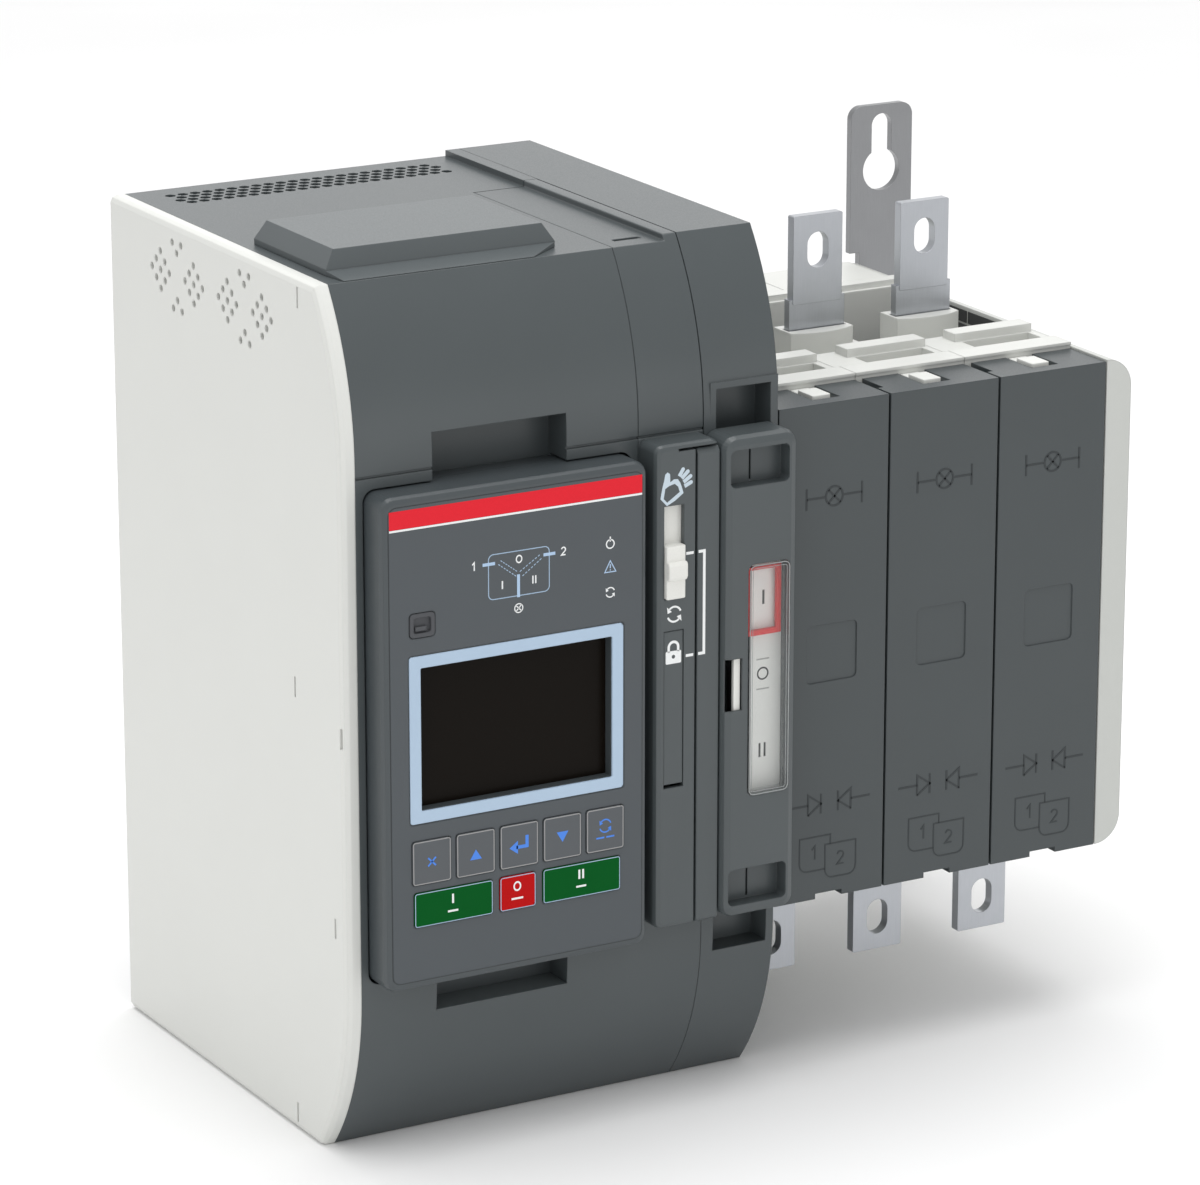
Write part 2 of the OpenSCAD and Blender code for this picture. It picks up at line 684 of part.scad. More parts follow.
// Terminal of the front source row: blade, cross bar and fixed contact
module source_terminal(i) {
    x = pole_x(i);
    y = [shaft_y - row_offset - blade_t / 2, shaft_y - row_offset + blade_t / 2];
    stem_y = [y[0] + root_step, y[1] - root_step];
    difference() {
        union() {
            panel([x - blade_w / 2, x + blade_w / 2], [24, 58], y, blade_r);
            slab([x - blade_w / 2 - 1.4, x + blade_w / 2 + 1.4], stem_y, [56, 80]);
            slab([x - 6, x + 6], stem_y, [80, 121.5]);
            slab([x - 6, x + 6], [stem_y[0], shaft_y - 29], [116.5, 121.5]);
            about_shaft(-swing_half) translate([x - 6, -contact_t / 2 - contact_gap - 5, -48])
                cube([12, 5, 12]);
        }
        blade_slot(i, shaft_y - row_offset, 36.6);
    }
}

module front_source_terminals() color("lightgray") for (i = [1:3]) source_terminal(i);

module rear_source_terminals() {
    color("lightgray") for (i = [1:3])
        translate([0, 2 * shaft_y, 0]) mirror([0, 1, 0]) source_terminal(i);
}

// Half-round collar that stands round the load blade
module load_collar(x) {
    collar_half = blade_w / 2 + 3;
    intersection() {
        slab([x - collar_half, x + collar_half], [-99, -83.5], [230, module_z1 + 1.4]);
        translate([x, -72, 0]) cylinder(r = 27, h = 300, $fn = 72);
    }
}

// Bar across the passage in front of the load terminal
module load_bridge(x, half) {
    slab([x - 11.5, x + half - 1], [-131, -123], [module_z1 - 3, module_z1 + 3]);
}

// White body of one pole, open at the top and bottom for its terminals
module pole_housing(i) {
    x = pole_x(i);
    half = pole_pitch / 2 - gap / 2;
    inner = pole_pitch / 2 - 3.4;
    rear_row_y = shaft_y + row_offset;
    front_row_y = shaft_y - row_offset;
    color("white") difference() {
        union() {
            slab([x - cap_half + 1.5, x + cap_half - 1.5], [front_y + 2.6, front_y + cap_depth + 2],
                 [pole_z0 + 2.6, pole_z1 - 2.6]);
            slab([x - half, x + half], [front_y + cap_depth + 0.3, module_back_y], [module_z0, module_z1]);
            load_bridge(x, half);
            // front rim and rear shoulder
            slab([x - half, x + half], [-155.5, -144.5], [module_z1, module_z1 + 1.2]);
            slab([x - half, x + half], [-44, -38], [module_z1, module_z1 + 2.2]);
            // rounded collar round the load blade
            load_collar(x);
        }
        // arc chamber
        slab([x - inner, x + inner], [-150, -12], [88, 222]);
        bar_x([x - half - 1, x + half + 1], shaft_y, mid_z, hub_r + running_gap);
        for (p = tie_points) bar_x([x - half - 1, x + half + 1], p[0], p[1], tie_r + 0.1);
        // load terminal's pocket and passage
        difference() {
            union() {
                slab([x - 21, x + 21], [-80.5, -46], [226, 260]);
                slab([x - 21, x + 21], [-121.5, -80], [232, 260]);
                // low walls between neighbouring poles
                slab([x - half - 1, x + half + 1], [-116, -48], [241, 260]);
                slab([x - 9, x + half - 3], [-143, -132], [241, 260]);
            }
            load_collar(x);
            load_bridge(x, half);
        }
        slab([x - blade_w / 2 - 1.8, x + blade_w / 2 + 1.8], [shaft_y - 2.4, shaft_y + 2.4], [218, 260]);
        // source terminals' passages and pockets in the bottom
        for (y = [front_row_y, rear_row_y])
            slab([x - blade_w / 2 - 1.8, x + blade_w / 2 + 1.8], [y - 2.4, y + 2.4], [50, 90]);
        slab([x - 18, x + 18], [front_row_y - 8, front_row_y - 2.2], [50, 74]);
        slab([x - 18, x + 18], [rear_row_y + 2.2, rear_row_y + 12], [50, 74]);
    }
}

module pole_cover(i) {
    x = pole_x(i);
    half = cap_half;
    inner = half - 1.3;
    notch = 5.6;
    color("dimgray") difference() {
        slab([x - half, x + half], [front_y, front_y + cap_depth], [pole_z0, pole_z1]);
        slab([x - inner, x + inner], [front_y + 2.4, front_y + cap_depth + 1],
             [pole_z0 + 2.4, pole_z1 - 2.4]);
        // open slots that clear the tie rods
        for (p = [tie_points[2], tie_points[3]])
            slab([x - half - 1, x + half + 1], [p[0] - tie_r - 0.4, front_y + cap_depth + 1],
                 [p[1] - tie_r - 0.4, p[1] + tie_r + 0.4]);
        // openings for the latches, top and bottom
        slab([x - 5.4, x + 6], [front_y + 6, front_y + cap_depth + 1], [pole_z1 - 4, pole_z1 + 1]);
        // relieved rear corner of the top
        slab([x - half - 1, x - half + 2.4], [front_y + 9, front_y + cap_depth + 1],
             [pole_z1 - 4, pole_z1 + 1]);
        slab([x - notch, x + notch], [front_y - 1, front_y + cap_depth + 1], [pole_z0 - 1, pole_z0 + 2]);
        // knock-out field
        panel([x - 10.4, x + 10.6], [146.6, 168], [front_y - 1, front_y + 0.5], 2);
    }
}

// Clips moulded to the poles that hold the covers
module cover_latches() {
    color("white") for (i = [1:3]) {
        x = pole_x(i);
        slab([x - 4.2, x + 3.4], [front_y + 8, front_y + cap_depth - 5], [pole_z1 - 2.2, pole_z1 + 0.8]);
        slab([x - 4.2, x + 3.4], [front_y + cap_depth - 5, front_y + cap_depth + 0.1],
             [pole_z1 - 2.2, pole_z1 - 0.4]);
    }
}

// Stacks of quenching plates in front of and behind the contacts
module arc_chutes() {
    plates = 7;
    color("slategray") for (i = [1:3], side = [-1, 1]) {
        x = pole_x(i);
        y0 = shaft_y + side * 48;
        for (k = [0:plates - 1])
            slab([x - 15, x + 15], [y0 - 9, y0 + 9], [132 + k * 8, 133.6 + k * 8]);
        for (s = [-1, 1])
            slab([x + s * 16 - 1, x + s * 16 + 1], [y0 - 9, y0 + 9], [130, 184]);
    }
}

module right_end_cover() {
    x = [poles_end_x + gap / 2, poles_end_x + 10.8];
    z = [pole_z0, pole_z1 + 0.6];
    r = 10.6;
    color("gainsboro") difference() {
        slab(x, [front_y, module_back_y], z);
        // rounded outer corners
        difference() {
            slab([x[1] - r, x[1] + 1], [front_y - 1, 1], [z[0] - 1, z[0] + r]);
            bar_y(x[1] - r, [front_y - 2, 2], z[0] + r, r);
        }
        difference() {
            slab([x[1] - r, x[1] + 1], [front_y - 1, 1], [z[1] - r, z[1] + 1]);
            bar_y(x[1] - r, [front_y - 2, 2], z[1] - r, r);
        }
        bar_x([x[0] - 1, x[0] + 4], shaft_y, mid_z, hub_r + 1);
        for (p = tie_points) {
            bar_x([x[0] - 1, x[1] + 1], p[0], p[1], tie_r + 0.1);
            bar_x([x[1] - 4.5, x[1] + 1], p[0], p[1], 5.5);
        }
    }
}

// Rods through the poles, with a nut at the end cover
module tie_rods() {
    color("silver") for (p = tie_points) {
        bar_x([chassis_right_x[1] + 0.5, poles_end_x + 9], p[0], p[1], tie_r);
        translate([poles_end_x + 6.35, p[0], p[1]]) rotate([0, 90, 0]) cylinder(r = 4.6, h = 3.2, $fn = 6);
        translate([poles_x - wall - 2.6, p[0], p[1]]) rotate([0, 90, 0]) cylinder(r = 4.6, h = 2.6, $fn = 6);
    }
}

module mounting_strap() {
    x = [strap_keyhole_x - strap_w / 2, strap_keyhole_x + strap_w / 2];
    z = [2.6, 311];
    color("silver") difference() {
        panel(x, z, [-strap_t, 0], 5);
        // narrower beside the poles
        slab([x[0] - 1, x[0] + 4.4], [-strap_t - 1, 1], [60, 253.5]);
        for (kz = keyhole_z) keyhole(strap_keyhole_x, kz);
    }
}

// ---- display panel ----

module hmi_bezel() {
    x = [hmi_x0, hmi_x0 + panel_w];
    z = [hmi_z0, hmi_z0 + panel_h];
    y = [hmi_front_y, hmi_split_y];
    color("dimgray") difference() {
        soft_panel(x, z, y, 4.5, 2.2);
        slab([x[0] + 2.5, x[1] - 2.5], [y[0] + 5, y[1] + 1], [z[0] + 2.5, z[1] - 2.5]);
        panel(display_span_x(display_frame_w + 0.3), display_span_z(display_frame_h + 0.3),
              [y[0] - 1, y[1]], 1.25);
        for (k = [0:4])
            panel(key_span(k, gap), [key_z - gap, key_z + key_h + gap], [y[0] - 1, y[1]], 1.7);
        for (k = command_keys)
            panel([k[0] - gap, k[1] + gap], [command_key_z - gap, command_key_z + command_key_h + gap],
                  [y[0] - 1, y[1]], 1.7);
        panel([usb_x[0] - gap, usb_x[1] + gap], [usb_z[0] - gap, usb_z[1] + gap], [y[0] - 1, y[1]], 1.7);
    }
}
function display_span_x(w) = [display_x - w / 2, display_x + w / 2];
function display_span_z(h) = [display_z - h / 2, display_z + h / 2];
function key_span(k, grow) = [key_x0 + k * key_pitch - grow, key_x0 + k * key_pitch + key_w + grow];

module hmi_back_shell() {
    x = [hmi_x0, hmi_x0 + panel_w];
    z = [hmi_z0, hmi_z0 + panel_h];
    color("dimgray") difference() {
        union() {
            panel(x, z, [hmi_split_y, hmi_back_y], 4);
            slab([45, 76], [hmi_back_y, hmi_back_y + 4], [88, 106]);
        }
        slab([x[0] + 2.5, x[1] - 2.5], [hmi_split_y - 1, hmi_back_y - 2.2], [z[0] + 2.5, z[1] - 2.5]);
        slab([48, 73], [hmi_back_y - 3, hmi_back_y + 5], [91, 103]);
    }
}

module display_frame() {
    color("lightsteelblue") difference() {
        panel(display_span_x(display_frame_w), display_span_z(display_frame_h),
              [hmi_front_y - 0.15, hmi_front_y + 5.4], 1.1);
        panel(display_span_x(display_w), display_span_z(display_h), [hmi_front_y - 1, hmi_front_y + 6], 0.6);
    }
}

module display_window() {
    color("black") panel(display_span_x(display_w - 0.1), display_span_z(display_h - 0.1),
                         [hmi_front_y + 4.4, hmi_front_y + 5.4], 0.6);
}

module display_panel() {
    color("gray") slab(display_span_x(display_frame_w - 4), [hmi_front_y + 5.6, hmi_front_y + 8.4],
                       display_span_z(display_frame_h - 3));
}

module hmi_board() {
    y = hmi_front_y + 9;
    color("seagreen") {
        slab([hmi_x0 + 4, hmi_x0 + panel_w - 4], [y, y + 1.6], [hmi_z0 + 5, hmi_z0 + panel_h - 5]);
        slab([49, 72], [y + 1.6, hmi_back_y + 2], [92, 102]);
        // switches under the keys
        for (k = [0:4])
            slab([key_x0 + k * key_pitch + 5, key_x0 + k * key_pitch + 10], [y - 1.8, y],
                 [key_z + 5, key_z + 10]);
        for (k = command_keys)
            slab([(k[0] + k[1]) / 2 - 2.5, (k[0] + k[1]) / 2 + 2.5], [y - 1.8, y],
                 [command_key_z + 4, command_key_z + 9]);
        slab([usb_x[0] + 1, usb_x[1] - 1], [y - 5, y], [usb_z[0] + 2, usb_z[1] - 2]);
    }
}

module usb_flap() {
    rim = 1.5;
    color("dimgray") {
        difference() {
            panel(usb_x, usb_z, [hmi_front_y - 0.4, hmi_front_y + 1.6], 1.5);
            panel([usb_x[0] + rim, usb_x[1] - rim], [usb_z[0] + rim, usb_z[1] - rim],
                  [hmi_front_y - 1, hmi_front_y + 0.9], 1);
        }
        // raised bar in the hollow
        slab([usb_x[0] + 2.2, usb_x[1] - 3], [hmi_front_y, hmi_front_y + 1],
             [usb_z[0] + 2.2, usb_z[0] + 3.8]);
    }
}

// Key cap with the foot that presses its switch
module key_cap(x, z) {
    foot_y = [hmi_front_y + 3, hmi_front_y + 6.2];
    panel(x, z, [hmi_front_y - key_proud, foot_y[0]], 1.5);
    slab([(x[0] + x[1]) / 2 - 2, (x[0] + x[1]) / 2 + 2], foot_y,
         [(z[0] + z[1]) / 2 - 2, (z[0] + z[1]) / 2 + 2]);
}

module nav_key(k) color("dimgray") key_cap(key_span(k, 0), [key_z, key_z + key_h]);
module command_key(k) key_cap(command_keys[k], [command_key_z, command_key_z + command_key_h]);

// ---- one line for each node ----

at_datum() left_end_cover();
at_datum() mechanism_housing();
at_datum() service_cover();
at_datum() side_housing();
at_datum() top_lid();
at_datum() back_plate();
at_datum() chassis_left();
at_datum() chassis_right();
at_datum() chassis_spacers();
at_datum() spindle_bracket();
at_datum() solenoid_frames();
at_datum() solenoid_coils();
at_datum() power_board();
at_datum() selector_panel();
at_datum() indicator_frame();
at_datum() indicator_window();
at_datum() indicator_card();
at_datum() hmi_bezel();
at_datum() hmi_back_shell();
at_datum() display_frame();
at_datum() display_window();
at_datum() display_panel();
at_datum() hmi_board();
at_datum() usb_flap();
at_datum() nav_key(0);  // key_1
at_datum() nav_key(1);  // key_2
at_datum() nav_key(2);  // key_3
at_datum() nav_key(3);  // key_4
at_datum() nav_key(4);  // key_5
at_datum() color("darkgreen") command_key(0);  // key_source_1
at_datum() color("red") command_key(1);  // key_off
at_datum() color("darkgreen") command_key(2);  // key_source_2
at_datum() mode_slider();
at_datum() socket_shutter();
at_datum() padlock_slide();
at_datum() manual_handle();
at_datum() position_frame();
at_datum() manual_spindle();
at_datum() drive_yoke();
at_datum() main_shaft();
at_datum() contact_carriers();
at_datum() moving_contact(1);  // moving_contact_1
at_datum() moving_contact(2);  // moving_contact_2
at_datum() moving_contact(3);  // moving_contact_3
at_datum() pole_housing(1);  // pole_housing_1
at_datum() pole_housing(2);  // pole_housing_2
at_datum() pole_housing(3);  // pole_housing_3
at_datum() pole_cover(1);  // pole_cover_1
at_datum() pole_cover(2);  // pole_cover_2
at_datum() pole_cover(3);  // pole_cover_3
at_datum() cover_latches();
at_datum() arc_chutes();
at_datum() load_terminal(1);  // load_terminal_1
at_datum() load_terminal(2);  // load_terminal_2
at_datum() load_terminal(3);  // load_terminal_3
at_datum() front_source_terminals();
at_datum() rear_source_terminals();
at_datum() right_end_cover();
at_datum() tie_rods();
at_datum() mounting_strap();
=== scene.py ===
import json
import math

import bpy
import bmesh
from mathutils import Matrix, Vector
from mathutils.geometry import tessellate_polygon


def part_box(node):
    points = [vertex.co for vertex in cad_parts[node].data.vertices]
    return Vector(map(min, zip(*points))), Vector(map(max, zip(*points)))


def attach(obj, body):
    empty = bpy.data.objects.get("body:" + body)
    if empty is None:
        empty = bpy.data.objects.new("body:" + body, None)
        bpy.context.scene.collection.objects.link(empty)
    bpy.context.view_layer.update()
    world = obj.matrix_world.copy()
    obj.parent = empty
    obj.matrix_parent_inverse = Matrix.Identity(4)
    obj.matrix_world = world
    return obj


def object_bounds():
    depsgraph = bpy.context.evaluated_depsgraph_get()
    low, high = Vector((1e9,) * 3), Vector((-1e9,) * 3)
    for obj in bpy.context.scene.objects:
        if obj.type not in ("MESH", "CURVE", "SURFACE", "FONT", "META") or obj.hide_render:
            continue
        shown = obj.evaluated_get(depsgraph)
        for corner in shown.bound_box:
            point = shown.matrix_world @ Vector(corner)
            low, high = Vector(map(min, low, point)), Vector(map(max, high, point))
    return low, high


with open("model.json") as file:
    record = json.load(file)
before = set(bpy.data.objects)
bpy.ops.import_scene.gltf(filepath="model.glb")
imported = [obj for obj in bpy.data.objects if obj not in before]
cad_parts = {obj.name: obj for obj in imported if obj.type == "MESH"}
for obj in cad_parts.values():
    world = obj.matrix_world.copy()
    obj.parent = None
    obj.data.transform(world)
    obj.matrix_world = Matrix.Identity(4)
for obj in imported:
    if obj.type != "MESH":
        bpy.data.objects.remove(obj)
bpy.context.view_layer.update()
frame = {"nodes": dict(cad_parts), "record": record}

MM = 0.001
NODES = frame["nodes"]

# ---------------------------------------------------------------- camera

scene = bpy.context.scene
scene.view_settings.view_transform = "Standard"

eye = Vector((-0.8950, -1.7750, 0.5876))
target = Vector((0.0885, -0.0482, -0.0065))
camera = bpy.data.objects.new("camera", bpy.data.cameras.new("camera"))
camera.data.sensor_width = 36
camera.data.lens = 166.3
camera.data.clip_start = 0.05
camera.location = eye
camera.rotation_mode = "QUATERNION"
camera.rotation_quaternion = (target - eye).to_track_quat("-Z", "Y")
scene.collection.objects.link(camera)
scene.camera = camera


# ---------------------------------------------------------------- materials

def linear(rgb):
    """An 8-bit sRGB colour as linear RGBA."""
    def one(c):
        c = c / 255
        return c / 12.92 if c <= 0.04045 else ((c + 0.055) / 1.055) ** 2.4
    return (*(one(c) for c in rgb), 1.0)


def shade(rgba, k):
    return (*(min(1.0, c * k) for c in rgba[:3]), 1.0)


def link(tree, a, b):
    tree.links.new(a, b)


def noise(tree, vector, grain_mm, detail=2.0, rough=0.55):
    """Noise whose features are about grain_mm across, from 0 to 1."""
    n = tree.nodes.new("ShaderNodeTexNoise")
    n.inputs["Scale"].default_value = 1 / (grain_mm * MM)
    n.inputs["Detail"].default_value = detail
    n.inputs["Roughness"].default_value = rough
    link(tree, vector, n.inputs["Vector"])
    return n.outputs["Fac"]


def spread(tree, fac, low, high, start=0.3, end=0.7):
    m = tree.nodes.new("ShaderNodeMapRange")
    m.inputs["From Min"].default_value = start
    m.inputs["From Max"].default_value = end
    m.inputs["To Min"].default_value = low
    m.inputs["To Max"].default_value = high
    link(tree, fac, m.inputs["Value"])
    return m.outputs["Result"]


def mixed(tree, fac, a, b):
    m = tree.nodes.new("ShaderNodeMix")
    m.data_type = "RGBA"
    link(tree, fac, m.inputs["Factor"])
    for socket, value in ((m.inputs["A"], a), (m.inputs["B"], b)):
        if isinstance(value, tuple):
            socket.default_value = value
        else:
            link(tree, value, socket)
    return m.outputs["Result"]


def stretched(tree, scale):
    """Object coordinates with each axis scaled, for a grain that runs along one of them."""
    c = tree.nodes.new("ShaderNodeTexCoord")
    m = tree.nodes.new("ShaderNodeMapping")
    m.inputs["Scale"].default_value = scale
    link(tree, c.outputs["Object"], m.inputs["Vector"])
    return m.outputs["Vector"]


def start_material(name):
    m = bpy.data.materials.new(name)
    m.use_nodes = True
    tree = m.node_tree
    return m, tree, tree.nodes["Principled BSDF"]


def add_bump(tree, shader, heights, edge_mm=0.0):
    """Lays heights (height, strength, distance in mm) over each other, on edges softened by edge_mm."""
    normal = None
    if edge_mm > 0:
        soft = tree.nodes.new("ShaderNodeBevel")
        soft.samples = 4
        soft.inputs["Radius"].default_value = edge_mm * MM
        normal = soft.outputs["Normal"]
    for height, strength, distance in heights:
        b = tree.nodes.new("ShaderNodeBump")
        b.inputs["Strength"].default_value = strength
        b.inputs["Distance"].default_value = distance * MM
        link(tree, height, b.inputs["Height"])
        if normal is not None:
            link(tree, normal, b.inputs["Normal"])
        normal = b.outputs["Normal"]
    link(tree, normal, shader.inputs["Normal"])


def plastic(name, rgb, rough=0.45, grain_mm=0.35, grain=0.12, tone=0.05, speckle=0.04,
            level=0.5, edge_mm=0.5):
    """A moulded plastic: spark-eroded grain, flow tone over centimetres, and roughness that varies."""
    m, tree, s = start_material(name)
    base = linear(rgb)
    vector = stretched(tree, (1, 1, 1))
    fine = noise(tree, vector, grain_mm, 3.0)
    flow = noise(tree, vector, 38, 2.0, 0.5)
    toned = mixed(tree, spread(tree, flow, 0, 1), shade(base, 1 - tone), shade(base, 1 + tone))
    dots = mixed(tree, spread(tree, fine, 0, 1), shade(base, 1 - speckle), shade(base, 1 + speckle))
    both = tree.nodes.new("ShaderNodeMix")
    both.data_type = "RGBA"
    both.inputs["Factor"].default_value = 0.5
    link(tree, toned, both.inputs["A"])
    link(tree, dots, both.inputs["B"])
    link(tree, both.outputs["Result"], s.inputs["Base Color"])
    link(tree, spread(tree, fine, rough - 0.05, rough + 0.06), s.inputs["Roughness"])
    s.inputs["Specular IOR Level"].default_value = level
    add_bump(tree, s, [(fine, grain, 0.08), (flow, 0.05, 0.6)], edge_mm)
    return m


def metal(name, rgb, rough=0.32, along=(1, 1, 1), scratch=0.10, tone=0.05):
    """A rolled or plated metal: fine drawn lines along one axis, soft clouding and a fine grain."""
    m, tree, s = start_material(name)
    base = linear(rgb)
    lines = noise(tree, stretched(tree, along), 0.5, 3.0, 0.6)
    plain = stretched(tree, (1, 1, 1))
    cloud = noise(tree, plain, 14, 3.0, 0.55)
    grain = noise(tree, plain, 0.6, 2.0, 0.6)
    tint = mixed(tree, spread(tree, cloud, 0, 1), shade(base, 1 - tone), shade(base, 1 + tone))
    lined = mixed(tree, spread(tree, lines, 0, 0.35), tint, shade(base, 0.86))
    link(tree, lined, s.inputs["Base Color"])
    s.inputs["Metallic"].default_value = 1.0
    link(tree, spread(tree, cloud, rough - 0.05, rough + 0.07), s.inputs["Roughness"])
    add_bump(tree, s, [(lines, scratch, 0.02), (grain, 0.06, 0.03)], 0.3)
    return m


def printed(name, rgb, rough=0.5, level=0.4):
    """Screen-printing ink: a slightly uneven, faintly stippled film."""
    m, tree, s = start_material(name)
    base = linear(rgb)
    vector = stretched(tree, (1, 1, 1))
    film = noise(tree, vector, 0.25, 2.0)
    tint = mixed(tree, spread(tree, film, 0, 1), shade(base, 0.95), shade(base, 1.03))
    link(tree, tint, s.inputs["Base Color"])
    link(tree, spread(tree, film, rough - 0.05, rough + 0.05), s.inputs["Roughness"])
    s.inputs["Specular IOR Level"].default_value = level
    add_bump(tree, s, [(film, 0.06, 0.02)])
    return m


DARK = (72, 78, 80)
M = {
    "dark_housing": plastic("dark_housing", DARK, 0.34, 0.45, 0.10),
    # a lighter copy of dark_housing for the lid: painted light on its top and front facets
    "lid_grey_painted_light": plastic("lid_grey_painted_light", (82, 88, 90), 0.34, 0.45, 0.10),
    "dark_cover": plastic("dark_cover", (63, 69, 71), 0.36, 0.45, 0.10),
    "panel_grey": plastic("panel_grey", (67, 73, 76), 0.34, 0.35, 0.08),
    "white_housing": plastic("white_housing", (216, 217, 213), 0.40, 0.4, 0.08, 0.012, 0.012, 0.5, 0.8),
    # darker copies of white_housing for the pole housings and the right end cover: painted shade on their
    # front faces
    "pole_white_painted_shade": plastic("pole_white_painted_shade", (209, 210, 206), 0.40, 0.4, 0.08, 0.012, 0.012, 0.5, 0.8),
    "end_cover": plastic("end_cover", (193, 195, 191), 0.40, 0.4, 0.08, 0.012, 0.012, 0.5, 0.8),
    "zinc_steel": metal("zinc_steel", (147, 148, 150), 0.38, (1, 1, 0.06)),
    "bright_steel": metal("bright_steel", (196, 198, 201), 0.25, (0.1, 1, 1)),
    "tinned_copper": metal("tinned_copper", (182, 185, 190), 0.34, (1, 1, 0.05)),
    "silvered_copper": metal("silvered_copper", (214, 205, 196), 0.28, (1, 0.1, 1)),
    "chute_plate": metal("chute_plate", (150, 150, 150), 0.4, (1, 1, 1)),
    "card": printed("card", (244, 245, 241), 0.6),
    "display_rim": plastic("display_rim", (172, 193, 214), 0.5, 0.3, 0.05, 0.012, 0.015),
    "display_module": plastic("display_module", (24, 22, 20), 0.35, 0.3, 0.04),
    "key_dark": plastic("key_dark", (80, 84, 88), 0.5, 0.3, 0.08),
    "key_green": plastic("key_green", (0, 84, 30), 0.45, 0.3, 0.05, 0.03, 0.03, 0.06, 0.3),
    "key_red": plastic("key_red", (182, 12, 14), 0.45, 0.3, 0.05, 0.03, 0.03, 0.08, 0.3),
    "slider_white": plastic("slider_white", (226, 226, 221), 0.3, 0.3, 0.06, 0.01, 0.01),
    "signal_red": plastic("signal_red", (214, 38, 40), 0.42, 0.3, 0.06, 0.02, 0.02, 0.3),
    "rubber_flap": plastic("rubber_flap", (70, 72, 76), 0.6, 0.25, 0.1),
    "rotor_plastic": plastic("rotor_plastic", (150, 144, 130), 0.5, 0.5, 0.12),
    "coil": metal("coil", (150, 84, 46), 0.4, (1, 1, 12), 0.6),
    "circuit_board": plastic("circuit_board", (22, 74, 44), 0.35, 0.6, 0.06, 0.05, 0.05),
}


def window_material(name, tint, rough):
    """Clear moulding: a thin see-through body that keeps its surface shine."""
    m, tree, s = start_material(name)
    vector = stretched(tree, (1, 1, 1))
    s.inputs["Base Color"].default_value = linear(tint)
    s.inputs["Alpha"].default_value = 0.08
    s.inputs["IOR"].default_value = 1.49
    ripple = noise(tree, vector, 6, 1.0)
    link(tree, spread(tree, ripple, rough, rough + 0.04), s.inputs["Roughness"])
    return m


M["clear_window"] = window_material("clear_window", (190, 194, 194), 0.04)
M["display_glass"] = plastic("display_glass", (18, 14, 10), 0.30, 0.3, 0.02, 0.03, 0.02, 0.07, 0.0)

# ---------------------------------------------------------------- CAD nodes: materials with painted light and shade, and edges

SLOT_OF = {part["node"]: part["material_slot"] for part in frame["record"]["subparts"]}

# Nodes of plain blocks, with the radius in mm to which their edges are cut.
EDGE = {
    "service_cover": 0.4,
    "hmi_back_shell": 0.4,
    "manual_handle": 0.4,
    "mode_slider": 0.5,
    "socket_shutter": 0.3,
    "padlock_slide": 0.3,
    "cover_latches": 0.4,
    "display_frame": 0.15,
    "usb_flap": 0.2,
    "position_frame": 0.2,
    **{f"key_{k}": 0.25 for k in (1, 2, 3, 4, 5, "source_1", "off", "source_2")},
}


# Nodes given a lighter or darker copy of their slot's material: painted light on the lid, painted shade on
# the end cover and the pole housings.
LIT_AND_SHADED_COPIES = {
    "right_end_cover": "end_cover",
    "top_lid": "lid_grey_painted_light",
    "pole_housing_1": "pole_white_painted_shade",
    "pole_housing_2": "pole_white_painted_shade",
    "pole_housing_3": "pole_white_painted_shade",
}


def dress(node):
    """Gives a CAD node its material and, where it is listed, cut edges, by modifiers alone."""
    o = NODES[node]
    o.data.materials.clear()
    # a node listed with a lit or shaded copy gets it here: painted light or painted shade
    o.data.materials.append(M[LIT_AND_SHADED_COPIES.get(node, SLOT_OF[node])])
    if node not in EDGE:
        return
    weld = o.modifiers.new("weld", "WELD")
    weld.merge_threshold = 0.002 * MM
    edge = o.modifiers.new("edge", "BEVEL")
    edge.width = EDGE[node] * MM
    edge.segments = 2
    edge.limit_method = "ANGLE"
    edge.angle_limit = math.radians(32)
    edge.use_clamp_overlap = False
    normals = o.modifiers.new("normals", "WEIGHTED_NORMAL")
    normals.weight = 80
    normals.keep_sharp = False


for node in NODES:
    dress(node)


# ---------------------------------------------------------------- flat marks

class Plane:
    """A front-facing plane: (u, v) in mm from the lower left corner of a node's box, on its front face."""

    def __init__(self, node, at=None):
        low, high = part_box(node)
        self.x, self.z = low.x, low.z
        self.y = low.y if at is None else at
        self.w, self.h = (high.x - low.x) / MM, (high.z - low.z) / MM

    def point(self, u, v, proud):
        return Vector((self.x + u * MM, self.y - proud * MM, self.z + v * MM))


def arc(cx, cy, r, a0, a1, n=12):
    return [(cx + r * math.cos(math.radians(a0 + (a1 - a0) * i / n)),
             cy + r * math.sin(math.radians(a0 + (a1 - a0) * i / n))) for i in range(n + 1)]


def round_loop(x0, y0, x1, y1, r, n=6):
    if r <= 0:
        return [(x0, y0), (x1, y0), (x1, y1), (x0, y1)]
    return (arc(x1 - r, y0 + r, r, -90, 0, n) + arc(x1 - r, y1 - r, r, 0, 90, n)
            + arc(x0 + r, y1 - r, r, 90, 180, n) + arc(x0 + r, y0 + r, r, 180, 270, n))


def filled(x0, y0, x1, y1, r=0.0):
    return [round_loop(x0, y0, x1, y1, r)]


def outline(x0, y0, x1, y1, r, w):
    return [round_loop(x0, y0, x1, y1, r), round_loop(x0 + w, y0 + w, x1 - w, y1 - w, max(r - w, 0))]


def disc(cx, cy, r, n=32):
    return [arc(cx, cy, r, 0, 360, n)[:-1]]


def ring(cx, cy, r, w, squeeze=1.0, n=40):
    def loop(a):
        return [(cx + (p[0] - cx) * squeeze, p[1]) for p in arc(cx, cy, a, 0, 360, n)[:-1]]
    return [loop(r), loop(r - w)]


